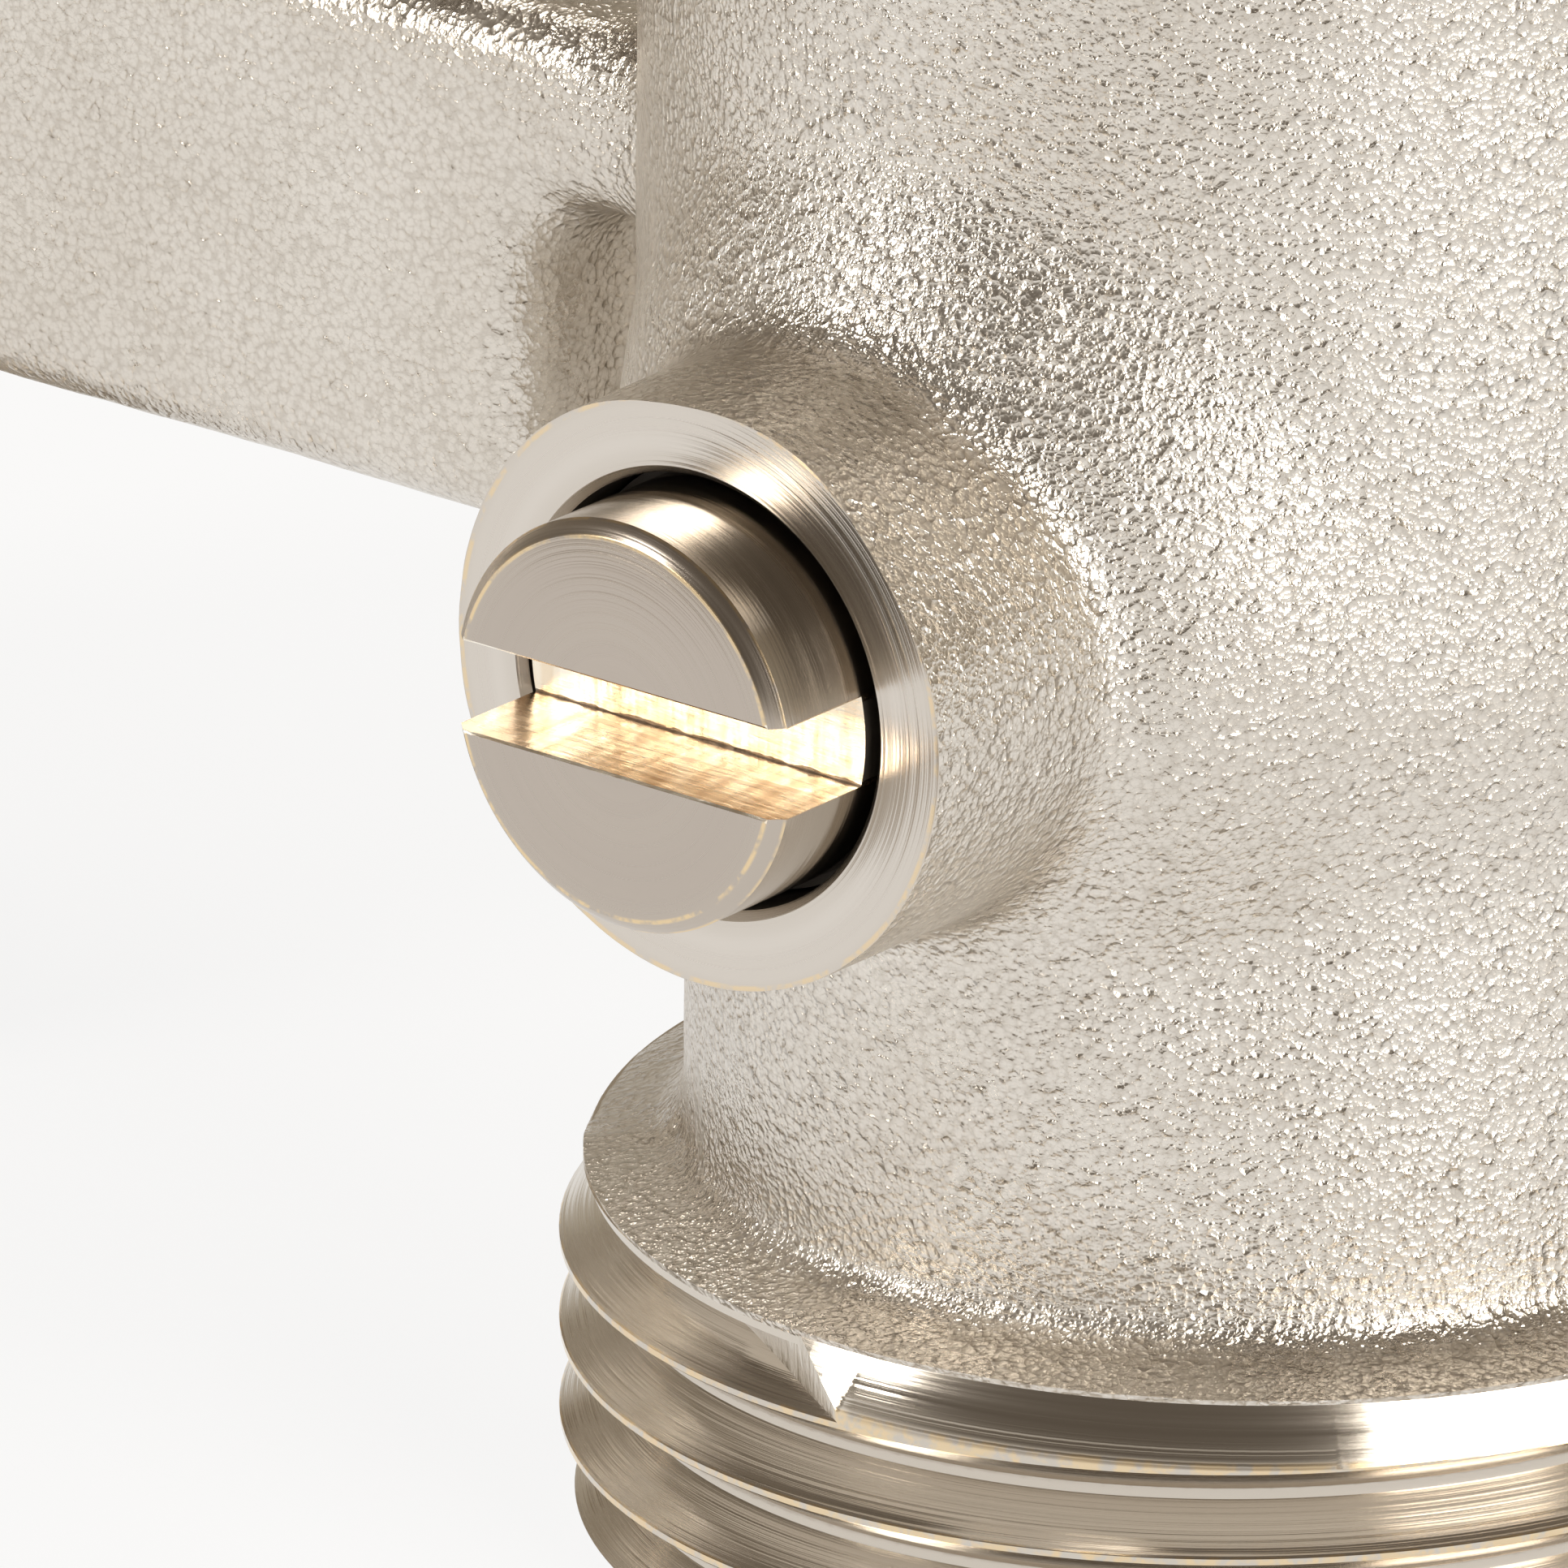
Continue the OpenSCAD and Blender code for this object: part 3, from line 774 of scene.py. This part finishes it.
# The slot's walls and floor take copies of the same milled brass: the walls' copy is darker as painted shade inside the
# slot, the floor's copy paler as painted light.
SLOT_WALL_SHADED = milled_brass("slot_wall_painted_shade", (0.82, 0.68, 0.52, 1), (0.56, 0.42, 0.28, 1), 0.24)
SLOT_FLOOR_LIT = milled_brass("slot_floor_painted_light", (1.0, 0.93, 0.80, 1), (0.90, 0.76, 0.58, 1), 0.22)
# Painted shade: a near-black material for the bore walls inside the boss and the spindle behind the boss face, where
# only shade falls.
GAP_SHADE = plain("painted_gap_shade", (0.07, 0.06, 0.05, 1), (0.12, 0.10, 0.08, 1), 0.45, 0.6, 1500.0, 0.00001)
NUT_METAL = turned_metal("nut_nickel", ABOUT_LEG, NICKEL_FACED, 0.2, 1.0, 3200.0, 0.000008)
TAIL_METAL = turned_metal("tail_nickel", ABOUT_LEG, NICKEL, 0.22, 1.0, 4200.0, 0.000009)
CHROME = plain("ball_chrome", (0.80, 0.80, 0.79, 1), (0.74, 0.74, 0.74, 1), 0.07, 1.0, 600.0, 0.000001)
PTFE = plain("ptfe", (0.80, 0.80, 0.77, 1), (0.74, 0.74, 0.71, 1), 0.45, 0.0, 900.0, 0.00001)
RUBBER = plain("black_rubber", (0.018, 0.018, 0.018, 1), (0.03, 0.03, 0.03, 1), 0.5, 0.0, 2400.0, 0.00002)


def dress(piece, materials, choose=None):
    piece.data.materials.clear()
    for mat in materials:
        piece.data.materials.append(mat)
    if choose:
        for face in piece.data.polygons:
            face.material_index = choose(face)


def forging_finish(face):
    p, side = leg_frame(face.center)
    if abs(p.y + BOSS_REACH) < 0.02 and face.normal.y < -0.99:
        return 1
    # Bore faces of the boss: the chamfer is faced, the wall deeper in takes the painted shade.
    if math.hypot(p.x, p.z) < BORE_R + 0.3 and p.y < -8:
        return 1 if p.y < -BOSS_REACH + 0.16 else 2
    inside = math.hypot(p.x, p.y) < 9.5
    return 3 if inside or face.center.z > (LEG_TOP - 0.02) * MM else 0


def spindle_finish(face):
    p, side = leg_frame(face.center)
    if abs(p.z) < SLOT_W / 2 + 0.01 and p.y < -(SPINDLE_END - SLOT_DEPTH) + 0.01:
        return 3 if abs(face.normal.y) > 0.9 else 2
    if abs(p.z) < SLOT_W / 2 + 0.07 and p.y < -SPINDLE_END + 0.07 and 0.1 < abs(face.normal.y) < 0.95:
        return 3
    # The spindle behind the boss face takes the painted shade.
    if p.y > -BOSS_REACH + 0.05:
        return 4
    return 0 if p.y < -(SPINDLE_END - 0.26) else 1


dress(forging, [BLASTED, FACED_BOSS, GAP_SHADE, BORED], forging_finish)
for piece in port_ends:
    dress(piece, [THREAD])
for piece in nuts:
    dress(piece, [NUT_METAL])
for piece in spindles:
    dress(piece, [SPINDLE_FACE, SPINDLE_SIDE, SLOT_WALL_SHADED, SLOT_FLOOR_LIT, GAP_SHADE], spindle_finish)
FINISHES = {"ball": CHROME, "seat": PTFE, "oring": RUBBER, "washer": PTFE, "tailpiece": TAIL_METAL, "nut": NUT_METAL,
            "gasket": RUBBER}
for name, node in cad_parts.items():
    for word, mat in FINISHES.items():
        if name.endswith(word):
            dress(node, [mat])
    if name == "body" or name.endswith("stem"):
        dress(node, [BORED])


# stage

FLOOR_GLOW = 0.85     # share of the floor that is plain white to the camera and in reflections; the rest takes the shadow


def white_floor():
    mat, tree, sockets, where = material("white_floor", 0.9, 0.0)
    sockets["Base Color"].default_value = (0.9, 0.9, 0.9, 1)
    glow = put(tree, "Emission", None, Color=(1, 1, 1, 1), Strength=1.0)
    rays = put(tree, "LightPath").outputs
    seen = calc(tree, "MAXIMUM", rays["Is Camera Ray"], rays["Is Glossy Ray"])
    mix = put(tree, "MixShader", None, Fac=calc(tree, "MULTIPLY", seen, FLOOR_GLOW))
    tree.links.new(tree.nodes["Principled BSDF"].outputs[0], mix.inputs[1])
    tree.links.new(glow.outputs[0], mix.inputs[2])
    tree.links.new(mix.outputs[0], tree.nodes["Material Output"].inputs["Surface"])
    return mat


def add_floor():
    bm = bmesh.new()
    bmesh.ops.create_grid(bm, x_segments=1, y_segments=1, size=1.2)
    floor = finish_mesh("floor", bm)
    floor.data.materials.append(white_floor())


def add_world():
    """White to the camera. To the metal, the room is dim and brown above and pale near the floor."""
    world = bpy.data.worlds.new("studio")
    bpy.context.scene.world = world
    world.use_nodes = True
    tree = world.node_tree
    way = put(tree, "SeparateXYZ", None, Vector=put(tree, "TexCoord").outputs["Generated"]).outputs
    ramp = put(tree, "ValToRGB", None, Fac=vary(tree, way["Z"], -1, 1, 0, 1))
    stops = ramp.color_ramp.elements
    stops[0].position, stops[0].color = 0.0, (0.8, 0.78, 0.75, 1)
    stops[1].position, stops[1].color = 1.0, (0.17, 0.14, 0.11, 1)
    for position, colour in ((0.49, (0.62, 0.58, 0.52, 1)), (0.56, (0.46, 0.41, 0.33, 1)), (0.75, (0.30, 0.25, 0.19, 1))):
        stops.new(position).color = colour
    front = vary(tree, way["Y"], -0.6, 0.3, 1.0, 0.0)
    above = vary(tree, way["Z"], 0.0, 0.15, 0.0, 1.0)
    room = tint(tree, calc(tree, "MULTIPLY", front, above), ramp.outputs["Color"], (0.13, 0.11, 0.09, 1))
    seen = put(tree, "LightPath").outputs["Is Camera Ray"]
    tree.links.new(tint(tree, seen, room, (1, 1, 1, 1)), tree.nodes["Background"].inputs["Color"])


def softbox(name, azimuth, elevation, distance, width, height, radiance, colour=(1, 0.96, 0.9)):
    """Area lamp that faces the valve. Azimuth 0 is in front of the valve, 90 on its right."""
    a, e = math.radians(azimuth), math.radians(elevation)
    way = Vector((math.sin(a) * math.cos(e), -math.cos(a) * math.cos(e), math.sin(e)))
    target = mm(LEG_X, 0, BALL_Z)
    data = bpy.data.lights.new(name, "AREA")
    data.shape = "RECTANGLE"
    data.size = width
    data.size_y = height
    data.color = colour
    data.energy = radiance * math.pi * width * height
    lamp = bpy.data.objects.new(name, data)
    lamp.matrix_world = Matrix.Translation(target + way * distance) @ way.to_track_quat("Z", "Y").to_matrix().to_4x4()
    lamp.visible_camera = False
    bpy.context.scene.collection.objects.link(lamp)


bpy.context.scene.view_settings.view_transform = "Standard"
add_floor()
add_world()
softbox("front_left", -30, 27, 0.8, 0.20, 0.42, 10.0)
softbox("right", 76, 17, 0.8, 0.42, 0.48, 8.0)
softbox("back_left", -112, 64, 0.8, 0.16, 0.34, 7.0)
softbox("back", 178, 64, 0.8, 0.16, 0.20, 6.0)
